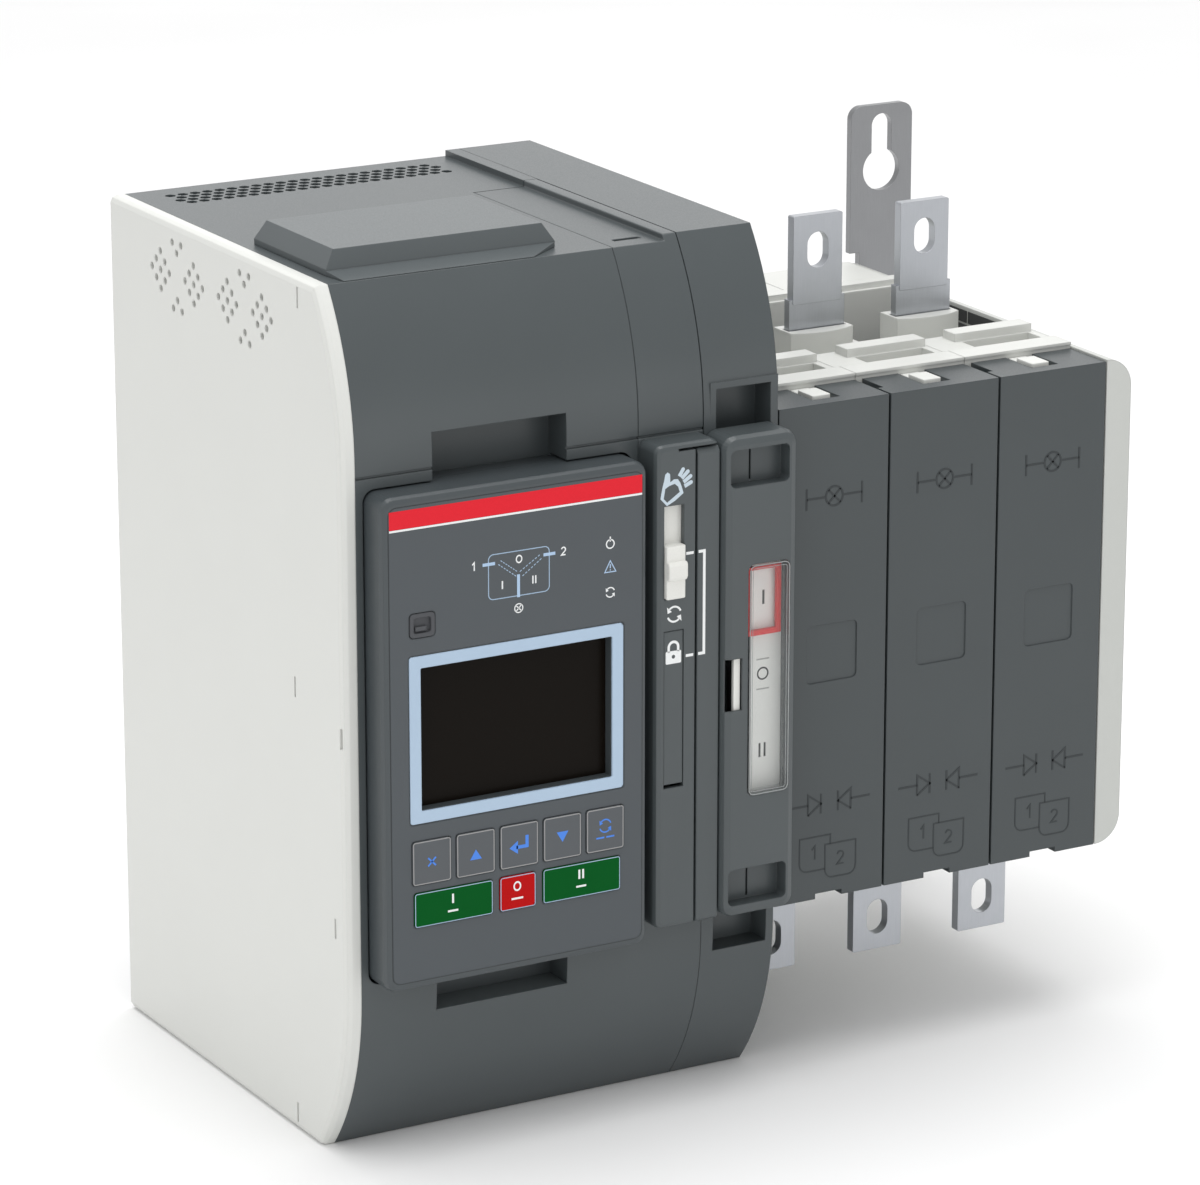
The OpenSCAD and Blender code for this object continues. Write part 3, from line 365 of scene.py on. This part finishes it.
def stroke(points, w, closed=False):
    """A band of width w along a polyline, with mitred corners."""
    p = [Vector(q) for q in points]
    n = len(p)
    left, right = [], []
    for i in range(n):
        a = p[i - 1] if i > 0 or closed else None
        b = p[(i + 1) % n] if i < n - 1 or closed else None
        d0 = (p[i] - a).normalized() if a is not None else None
        d1 = (b - p[i]).normalized() if b is not None else None
        d0, d1 = d0 or d1, d1 or d0
        n0, n1 = Vector((-d0.y, d0.x)), Vector((-d1.y, d1.x))
        m = (n0 + n1).normalized()
        k = w / 2 / max(0.4, m.dot(n0))
        left.append(tuple(p[i] + m * k))
        right.append(tuple(p[i] - m * k))
    if closed:
        return [left, right]
    return [left + right[::-1]]


def flat_piece(name, plane, shapes, material, body, proud=0.05, sunk=0.02):
    """One closed thin solid for each shape (an outer loop and its holes), on the plane."""
    mesh = bpy.data.meshes.new(name)
    bm = bmesh.new()
    for loops in shapes:
        rings = [[bm.verts.new(plane.point(u, v, proud)) for u, v in loop] for loop in loops]
        backs = [[bm.verts.new(plane.point(u, v, -sunk)) for u, v in loop] for loop in loops]
        flat = [[Vector((u, v, 0)) for u, v in loop] for loop in loops]
        front = [v for r in rings for v in r]
        back = [v for r in backs for v in r]
        for tri in tessellate_polygon(flat):
            if len({front[i] for i in tri}) < 3:
                continue
            bm.faces.new([front[i] for i in tri])
            bm.faces.new([back[i] for i in reversed(tri)])
        for r, b in zip(rings, backs):
            for i in range(len(r)):
                j = (i + 1) % len(r)
                bm.faces.new((r[i], r[j], b[j], b[i]))
    bmesh.ops.recalc_face_normals(bm, faces=bm.faces)
    bm.to_mesh(mesh)
    bm.free()
    o = bpy.data.objects.new(name, mesh)
    scene.collection.objects.link(o)
    mesh.materials.append(material)
    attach(o, body)
    return o


def bars(cx, cy, n, h, w, pitch):
    """n upright bars side by side: the position marks I and II."""
    first = cx - (n - 1) * pitch / 2
    middles = [first + i * pitch for i in range(n)]
    return [filled(x - w / 2, cy - h / 2, x + w / 2, cy + h / 2) for x in middles]


def numeral(which, cx, cy, h, w):
    """The figures 1 and 2 as plain strokes, h high."""
    half, side = h / 2, h * 0.27
    if which == 1:
        return [stroke([(cx - side, cy + half * 0.45), (cx, cy + half), (cx, cy - half)], w)]
    top = arc(cx, cy + half - side, side, 165, -35, 10)
    return [stroke([*top, (cx - side, cy - half + w / 2), (cx + side, cy - half + w / 2)], w)]


def triangle(cx, cy, w, h, up=True):
    s = 1 if up else -1
    return [[(cx - w / 2, cy - s * h / 2), (cx + w / 2, cy - s * h / 2), (cx, cy + s * h / 2)]]


def turning_arrows(cx, cy, r, w):
    """Two arrows that chase each other round a circle: the mark for automatic."""
    found = []
    for a in (20, 200):
        found.append(stroke(arc(cx, cy, r, a, a + 118, 10), w))
        tip = math.radians(a + 150)
        mid = math.radians(a + 116)
        head = 1.9 * w
        centre = Vector((cx + r * math.cos(mid), cy + r * math.sin(mid)))
        out = Vector((math.cos(mid), math.sin(mid)))
        ahead = Vector((cx + r * math.cos(tip), cy + r * math.sin(tip)))
        found.append([[tuple(centre + out * head), tuple(centre - out * head), tuple(ahead)]])
    return found


def load_mark(cx, cy, r, w):
    """The lamp sign of circuit diagrams, a ring with a cross in it: the mark for the load."""
    d = (r - w / 2) * math.sqrt(0.5)
    return [ring(cx, cy, r, w),
            stroke([(cx - d, cy - d), (cx + d, cy + d)], w),
            stroke([(cx - d, cy + d), (cx + d, cy - d)], w)]


INK = {
    "white": printed("ink_white", (236, 238, 238)),
    "pale": printed("ink_pale_blue", (160, 184, 208)),
    "hand": printed("ink_hand", (196, 210, 220)),
    "sky": printed("ink_sky", (172, 198, 226)),
    "blue": printed("ink_blue", (72, 132, 226)),
    "red": printed("ink_red", (224, 30, 46), 0.5, 0.2),
    "grey": printed("ink_grey", (150, 150, 150)),
    "black": printed("ink_black", (46, 46, 46)),
    "dim": printed("ink_dim", (176, 177, 174)),
    "engraved": printed("ink_engraved", (50, 55, 57)),
}

hmi = Plane("hmi_bezel")

# In mm: how far the panel's label and the print on it stand proud, where the print starts,
# and the same for the print on a key, with its distance from the key's edge.
LABEL_TOP = 0.12
INK_TOP = 0.16
INK_FOOT = -0.1
KEY_INK = 0.04
KEY_MARGIN = 0.12


def hmi_marks():
    """The front label of the display panel and what is printed on it."""
    low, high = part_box("display_frame")
    d = 0.4
    opening = round_loop((low.x - hmi.x) / MM - d, (low.z - hmi.z) / MM - d,
                         (high.x - hmi.x) / MM + d, (high.z - hmi.z) / MM + d, 1.2)
    holes = [opening]
    for key in KEYS:
        a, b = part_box(key)
        holes.append(round_loop((a.x - hmi.x) / MM - 0.2, (a.z - hmi.z) / MM - 0.2,
                                (b.x - hmi.x) / MM + 0.2, (b.z - hmi.z) / MM + 0.2, 0.9))
    a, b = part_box("usb_flap")
    holes.append(round_loop((a.x - hmi.x) / MM - 0.25, (a.z - hmi.z) / MM - 0.25,
                            (b.x - hmi.x) / MM + 0.25, (b.z - hmi.z) / MM + 0.25, 1.4))
    label = [round_loop(2.5, 3.1, 100.7, 172.7, 3.0, 8), *holes]
    flat_piece("hmi_label", hmi, [label], M["label"], "hmi", LABEL_TOP)
    edge = outline(2.2, 2.8, 101.0, 173.0, 3.2, 0.3)
    flat_piece("hmi_label_edge", hmi, [edge], INK["engraved"], "hmi", 0.02)
    bar = filled(2.7, 165.2, 100.6, 171.6)
    flat_piece("hmi_bar", hmi, [bar], INK["red"], "hmi", INK_TOP, INK_FOOT)
    line = filled(2.7, 164.4, 100.6, 165.1)
    flat_piece("hmi_bar_line", hmi, [line], INK["white"], "hmi", INK_TOP, INK_FOOT)

    glass_low, glass_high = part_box("display_window")
    depth = (glass_low.y - hmi.y) / MM
    liner = outline((glass_low.x - hmi.x) / MM, (glass_low.z - hmi.z) / MM,
                    (glass_high.x - hmi.x) / MM, (glass_high.z - hmi.z) / MM, 0.55, 0.2)
    flat_piece("display_liner", hmi, [liner], M["panel_grey"], "hmi", -0.5, depth - 0.05)

    pale = [outline(40.3, 135.3, 64.2, 151.5, 2.0, 0.32)]
    for x0, x1, y0, y1 in ((44.3, 51.5, 147.6, 142.2), (45.2, 51.8, 148.8, 143.9),
                           (53.6, 61.4, 142.2, 147.6), (52.6, 60.8, 143.9, 149.0)):
        steps = 7
        for i in range(steps):
            a, b = i / steps, (i + 0.62) / steps
            start = (x0 + (x1 - x0) * a, y0 + (y1 - y0) * a)
            end = (x0 + (x1 - x0) * b, y0 + (y1 - y0) * b)
            pale.append(stroke([start, end], 0.3))
    flat_piece("hmi_mimic_lines", hmi, pale, INK["pale"], "hmi", INK_TOP, INK_FOOT)
    solid = [filled(38.2, 147.6, 43.0, 148.7),
             filled(61.8, 147.9, 66.4, 149.0),
             filled(51.5, 134.9, 52.6, 143.0)]
    flat_piece("hmi_mimic_bars", hmi, solid, INK["sky"], "hmi", INK_TOP + 0.01, INK_FOOT)

    white = [ring(52.3, 148.4, 1.5, 0.5, 0.85)]
    white += bars(45.8, 140.1, 1, 2.8, 0.55, 1) + bars(58.2, 140.3, 2, 2.8, 0.5, 1.1)
    white += numeral(1, 35.0, 148.1, 2.9, 0.45) + numeral(2, 69.6, 148.6, 2.9, 0.45)
    white += load_mark(52.1, 131.0, 1.75, 0.38)
    white += [ring(88.0, 148.6, 1.75, 0.45), filled(87.75, 149.4, 88.25, 151.2)]
    white += turning_arrows(88.0, 131.3, 1.7, 0.42)
    flat_piece("hmi_marks_white", hmi, white, INK["white"], "hmi", INK_TOP, INK_FOOT)
    warn = [stroke([(85.8, 138.6), (90.2, 138.6), (88.0, 142.6)], 0.35, True),
            filled(87.8, 139.9, 88.2, 141.4),
            filled(87.8, 139.1, 88.2, 139.5)]
    flat_piece("hmi_fault_mark", hmi, warn, INK["sky"], "hmi", INK_TOP, INK_FOOT)


KEYS = ["key_1", "key_2", "key_3", "key_4", "key_5", "key_source_1", "key_off", "key_source_2"]


def key_marks():
    """A thin outline on each key, and its sign."""
    for key in KEYS:
        p = Plane(key)
        w, h, cx, cy = p.w, p.h, p.w / 2, p.h / 2
        command = "key_source" in key or key == "key_off"
        line = INK["pale"] if command else INK["grey"]
        width = 0.28 if command else 0.38
        frame_line = outline(KEY_MARGIN, KEY_MARGIN, w - KEY_MARGIN, h - KEY_MARGIN, 0.9, width)
        flat_piece(key + "_line", p, [frame_line], line, key, KEY_INK)
        signs = {
            "key_1": [stroke([(cx - 1.5, cy - 1.5), (cx + 1.5, cy + 1.5)], 0.6),
                      stroke([(cx - 1.5, cy + 1.5), (cx + 1.5, cy - 1.5)], 0.6)],
            "key_2": [triangle(cx, cy - 0.4, 4.6, 3.6)],
            "key_3": [stroke([(cx + 3.0, cy + 3.3), (cx + 3.0, cy - 0.6), (cx - 1.2, cy - 0.6)], 1.25),
                      [[(cx - 3.9, cy - 0.6), (cx - 0.6, cy + 1.8), (cx - 0.6, cy - 3.0)]]],
            "key_4": [triangle(cx, cy + 0.2, 4.6, 3.8, False)],
            "key_5": [*turning_arrows(cx, cy + 1.3, 2.3, 0.5),
                      filled(cx - 3.6, cy - 3.2, cx - 0.4, cy - 2.6),
                      filled(cx + 0.4, cy - 3.2, cx + 3.6, cy - 2.6)],
            "key_source_1": [*bars(cx - 0.4, cy + 2.2, 1, 3.4, 0.75, 1),
                             filled(cx - 2.4, cy - 2.6, cx + 1.6, cy - 1.9)],
            "key_off": [ring(cx - 0.3, cy + 2.2, 1.8, 0.62, 0.85),
                        filled(cx - 2.6, cy - 2.6, cx + 2.0, cy - 1.9)],
            "key_source_2": [*bars(cx - 0.3, cy + 2.2, 2, 3.4, 0.75, 1.5),
                             filled(cx - 2.3, cy - 2.6, cx + 1.7, cy - 1.9)],
        }
        ink = INK["white"] if command else INK["blue"]
        flat_piece(key + "_sign", p, signs[key], ink, key, KEY_INK)


def hand(cx, cy):
    """A hand that reaches up: an outlined palm with its thumb, and four fingers as rounded rods."""
    palm = [(-6.0, -3.3), (-5.2, 0.7), (-4.5, 3.2), (-4.1, 5.2), (-3.2, 5.9), (-2.2, 5.2), (-2.1, 2.2),
            (-0.6, 3.1), (0.9, 3.0), (1.9, 1.6), (2.5, 0.0), (3.2, -2.3), (-0.2, -4.6), (-3.4, -6.1)]
    hollow = [(-4.7, -3.4), (-4.1, 0.1), (-2.7, 0.9), (-0.3, 1.5), (1.1, 0.2), (1.7, -1.7), (-3.3, -4.9)]
    found = [[[(cx + u, cy + v) for u, v in loop] for loop in (palm, hollow)]]
    thick = 0.72
    fingers = ((1.5, 3.9, 3.0, 6.2), (2.5, 3.0, 4.9, 5.2), (3.2, 1.6, 6.0, 3.4), (3.6, 0.1, 6.2, 1.2))
    for x0, y0, x1, y1 in fingers:
        start, tip = Vector((cx + x0, cy + y0)), Vector((cx + x1, cy + y1))
        d = (tip - start).normalized()
        side = Vector((-d.y, d.x)) * thick
        loop = [tuple(start + side), tuple(start - side)]
        for t in range(0, 181, 30):
            t = math.radians(t)
            loop.append(tuple(tip + d * thick * math.sin(t) - side * math.cos(t)))
        found.append([loop])
    return found


def selector_marks():
    p = Plane("selector_panel")
    flat_piece("selector_hand", p, hand(7.6, 160.8), INK["hand"], "root", 0.05)
    marks = turning_arrows(7.3, 115.4, 2.7, 0.7)
    marks += [filled(12.0, 136.1, 15.0, 137.1), filled(12.0, 99.1, 15.0, 100.1)]
    flat_piece("selector_marks", p, marks, INK["white"], "root", 0.05)
    h = Plane("manual_handle")
    du = (p.x - h.x) / MM
    dv = (p.z - h.z) / MM
    corners = ((17.0, 136.6), (19.3, 136.6), (19.3, 99.6), (17.0, 99.6))
    bracket = stroke([(du + u, dv + v) for u, v in corners], 1.05)
    flat_piece("handle_bracket", h, [bracket], INK["white"], "handle", 0.05)
    s = Plane("padlock_slide")
    cx, base = s.w / 2, 46.2
    lock = [round_loop(cx - 3.1, base, cx + 3.1, base + 4.6, 0.5), disc(cx, base + 2.5, 0.7)[0]]
    hoop = arc(cx, base + 6.0, 1.9, 180, 0, 12)
    shackle = stroke([(cx - 1.9, base + 4.3), *hoop, (cx + 1.9, base + 4.3)], 0.95)
    flat_piece("padlock_mark", s, [lock, shackle], INK["white"], "padlock_slide", 0.05)


def indicator_marks():
    p = Plane("indicator_card")
    cx = 4.8
    one_v, off_v, two_v = 74.1, 46.0, 17.7
    ink = bars(cx, one_v, 1, 5.2, 0.9, 1) + [ring(cx, off_v, 2.4, 0.6)] + bars(cx, two_v, 2, 5.2, 0.8, 2.1)
    flat_piece("card_marks", p, ink, INK["black"], "root", 0.05)
    dim = [filled(cx - 2.6, 51.1, cx + 2.6, 51.6), filled(cx - 2.6, 40.1, cx + 2.6, 40.6)]
    flat_piece("card_dim_marks", p, dim, INK["dim"], "root", 0.05)
    w = Plane("indicator_window")
    # two pale outlines at the window's front edges: a painted highlight for the glint of its clear walls
    rim = [outline(0.25, 0.25, w.w - 0.25, w.h - 0.25, 2.1, 0.3),
           outline(1.35, 1.35, w.w - 1.35, w.h - 1.35, 1.1, 0.18)]
    flat_piece("window_painted_glint", w, rim, M["clear_edge_painted_glint"], "root", 0.04)


def cover_marks():
    """Signs for the load and the two sources, and the two numbered shields, on each pole cover."""
    for i in (1, 2, 3):
        p = Plane(f"pole_cover_{i}")
        cx = p.w / 2
        thick = 0.75
        top, r, left_x, right_x = 150.0, 3.9, cx - 11.0, cx + 12.0
        lamp_x = cx + 0.5
        arrow = [*load_mark(lamp_x, top, r, thick),
                 stroke([(left_x, top - r), (left_x, top + r)], thick),
                 stroke([(left_x, top), (lamp_x - r, top)], thick),
                 stroke([(lamp_x + r, top), (right_x, top)], thick),
                 stroke([(right_x, top - r), (right_x, top + r)], thick)]
        flat_piece(f"cover_load_mark_{i}", p, arrow, INK["engraved"], "root", LABEL_TOP)
        low = 36.0
        source = []
        for side in (-1, 1):
            far, base, tip = cx + side * 17, cx + side * 9, cx + side * 3.6
            source.append(stroke([(far, low), (base, low)], thick))
            arrow_head = [(base, low - 3.8), (base, low + 3.8), (tip, low), (base, low - 3.8)]
            source.append(stroke(arrow_head, thick))
            source.append(stroke([(tip, low - 3.7), (tip, low + 3.7)], thick))
        flat_piece(f"cover_source_mark_{i}", p, source, INK["engraved"], "root", LABEL_TOP)
        shields = []
        for n, du, dv in ((1, -5.9, 17.3), (2, 4.9, 13.7)):
            x0, x1, y0, y1 = cx + du - 6.5, cx + du + 6.5, dv - 6.4, dv + 6.4
            left = [*arc(x0 + 3.2, y0 + 3.2, 3.2, 180, 270, 6)]
            if n == 1:
                # the first shield runs behind the second
                loop = [(x1, y1 - 3.6), (x1, y1), (x0, y1), *left, (x1 - 2.2, y0)]
                shields.append(stroke(loop, 0.5))
            else:
                loop = [(x1, y1), (x0, y1), *left, *arc(x1 - 3.2, y0 + 3.2, 3.2, 270, 360, 6)]
                shields.append(stroke(loop, 0.5, True))
            shields += numeral(n, cx + du, dv + 0.4, 5.0, 0.6)
        flat_piece(f"cover_shields_{i}", p, shields, INK["engraved"], "root", LABEL_TOP)


def blocks_piece(name, blocks, material, body):
    """Closed blocks as one piece, each (x0, x1, y0, y1, z0, z1) in metres."""
    mesh = bpy.data.meshes.new(name)
    bm = bmesh.new()
    for x0, x1, y0, y1, z0, z1 in blocks:
        for v in bmesh.ops.create_cube(bm, size=1.0)["verts"]:
            v.co.x = (x0 + x1) / 2 + v.co.x * (x1 - x0)
            v.co.y = (y0 + y1) / 2 + v.co.y * (y1 - y0)
            v.co.z = (z0 + z1) / 2 + v.co.z * (z1 - z0)
    bm.to_mesh(mesh)
    bm.free()
    o = bpy.data.objects.new(name, mesh)
    scene.collection.objects.link(o)
    mesh.materials.append(material)
    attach(o, body)


def pocket_vents():
    """Ribbed inserts for the arc vents at the bottom of the pockets behind the load blades, coloured dark
    to paint the shade deep in the pockets.
    """
    for i in (1, 2, 3):
        blade_low, blade_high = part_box(f"load_terminal_{i}")
        x0 = (blade_low.x + blade_high.x) / 2 - VENT_HALF * MM
        x1 = x0 + 2 * VENT_HALF * MM
        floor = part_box(f"pole_housing_{i}")[1].z - POCKET_DEPTH * MM
        start = POCKET_Y[0] * MM
        blocks = [(x0, x1, start, POCKET_Y[1] * MM, floor + 0.2 * MM, floor + 1.2 * MM)]
        for k in range(9):
            y = start + (0.6 + k * 3.9) * MM
            blocks.append((x0, x1, y, y + 1.4 * MM, floor + 1.2 * MM, floor + 4.4 * MM))
        blocks_piece(f"pocket_vent_{i}", blocks, M["vent_dark_painted_shade"], "root")


def side_shade_plates():
    """Thin dark plates on the wall beside the last pocket, parted by pale webs: painted shade where that
    wall looks dark.
    """
    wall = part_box("right_end_cover")[0].x
    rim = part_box("pole_housing_3")[1].z - RIM_HEIGHT * MM
    x0, x1 = wall - 0.35 * MM, wall - 0.05 * MM
    rows = ((rim - 4.6 * MM, rim), (rim - 9.2 * MM, rim - 5.4 * MM))
    spans = ((-115.0, -87.4), (-86.4, -58.6), (-57.6, -48.6))
    blocks = [(x0, x1, y0 * MM, y1 * MM, z0, z1) for y0, y1 in spans for z0, z1 in rows]
    blocks_piece("side_shade_plates", blocks, M["vent_dark_painted_shade"], "root")


def recess_painted_light_sheet():
    """A paler sheet on the floor of the finger recess under the display panel: painted light that lifts
    the recess's shade.
    """
    found = [o for o in frame["record"]["physics"]["openings"] if o["name"] == "lower_finger_recess"]
    low, high = found[0]["box_m"]
    x0, x1 = low[0] - 0.5 * MM, high[0] + 0.5 * MM
    y0, y1 = low[1], high[1] + 0.2 * MM
    # the opening's box ends 0.6 mm above the recess floor
    z0, z1 = low[2] - 0.55 * MM, low[2] - 0.4 * MM
    blocks = [(x0, x1, y0, y1, z0, z1)]
    blocks_piece("recess_painted_light_sheet", blocks, M["recess_painted_light_grey"], "root")


# In mm: half width of a pocket's insert, its depth under the pole's top and its reach from the wall,
# and how far the side plates of painted shade start under the pole's top.
VENT_HALF = 20.6
POCKET_DEPTH = 27.5
POCKET_Y = (-80.2, -46.3)
RIM_HEIGHT = 5.0
# paler than the housing: painted light for the shaded recess floor
M["recess_painted_light_grey"] = plastic("recess_painted_light_grey", (112, 119, 121), 0.4, 0.45, 0.1)
# dark plastic for the vent pieces: painted shade in the pockets and on the wall beside the last one
M["vent_dark_painted_shade"] = plastic("vent_dark_painted_shade", (52, 54, 54), 0.5, 0.4, 0.08)
# pale glossy grey for the window's edge outlines: painted highlight
M["clear_edge_painted_glint"] = plastic("clear_edge_painted_glint", (150, 154, 154), 0.2, 0.3, 0.02, 0.02, 0.02, 0.8, 0.0)
M["label"] = plastic("hmi_label", (78, 83, 87), 0.5, 0.3, 0.05, 0.015, 0.03, 0.35)
hmi_marks()
key_marks()
selector_marks()
indicator_marks()
cover_marks()
pocket_vents()
side_shade_plates()
recess_painted_light_sheet()

# ---------------------------------------------------------------- floor and light

def stage_floor():
    low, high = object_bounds()
    mesh = bpy.data.meshes.new("floor")
    half = 9.0
    z = low.z - 0.2 * MM
    corners = [(-half, -half, z), (half, -half, z), (half, half, z), (-half, half, z)]
    mesh.from_pydata(corners, [], [(0, 1, 2, 3)])
    floor = bpy.data.objects.new("floor", mesh)
    scene.collection.objects.link(floor)
    m, tree, shader = start_material("floor")
    mottle = noise(tree, stretched(tree, (1, 1, 1)), 300, 2.0)
    pale = mixed(tree, spread(tree, mottle, 0, 1), (0.90, 0.90, 0.90, 1), (0.93, 0.93, 0.93, 1))
    link(tree, pale, shader.inputs["Base Color"])
    shader.inputs["Roughness"].default_value = 0.9
    shader.inputs["Specular IOR Level"].default_value = 0.1
    mesh.materials.append(m)


def area(name, place, aim, size, power, colour=(1, 1, 1)):
    data = bpy.data.lights.new(name, "AREA")
    data.shape = "RECTANGLE"
    data.size, data.size_y = size
    data.energy = power
    data.color = colour
    o = bpy.data.objects.new(name, data)
    o.location = place
    o.rotation_mode = "QUATERNION"
    o.rotation_quaternion = (Vector(aim) - Vector(place)).to_track_quat("-Z", "Y")
    o.visible_camera = False
    scene.collection.objects.link(o)


stage_floor()
world = bpy.data.worlds.new("studio")
world.use_nodes = True
world.node_tree.nodes["Background"].inputs["Color"].default_value = (1.0, 1.0, 1.0, 1)
world.node_tree.nodes["Background"].inputs["Strength"].default_value = 0.73
scene.world = world
middle = (0.08, -0.09, 0.0)
area("key", (-1.9, -1.0, 1.3), middle, (1.6, 1.6), 5.5)
area("top", (0.1, -0.1, 1.9), middle, (2.0, 1.4), 28)
area("low_fill", (0.35, -1.9, 0.05), (0.05, -0.15, -0.1), (1.6, 0.3), 1.6)
# broad panel behind the object, for the sheen that its top faces show
area("sheen", (1.26, 1.98, 0.75), middle, (2.6, 1.1), 4.8)
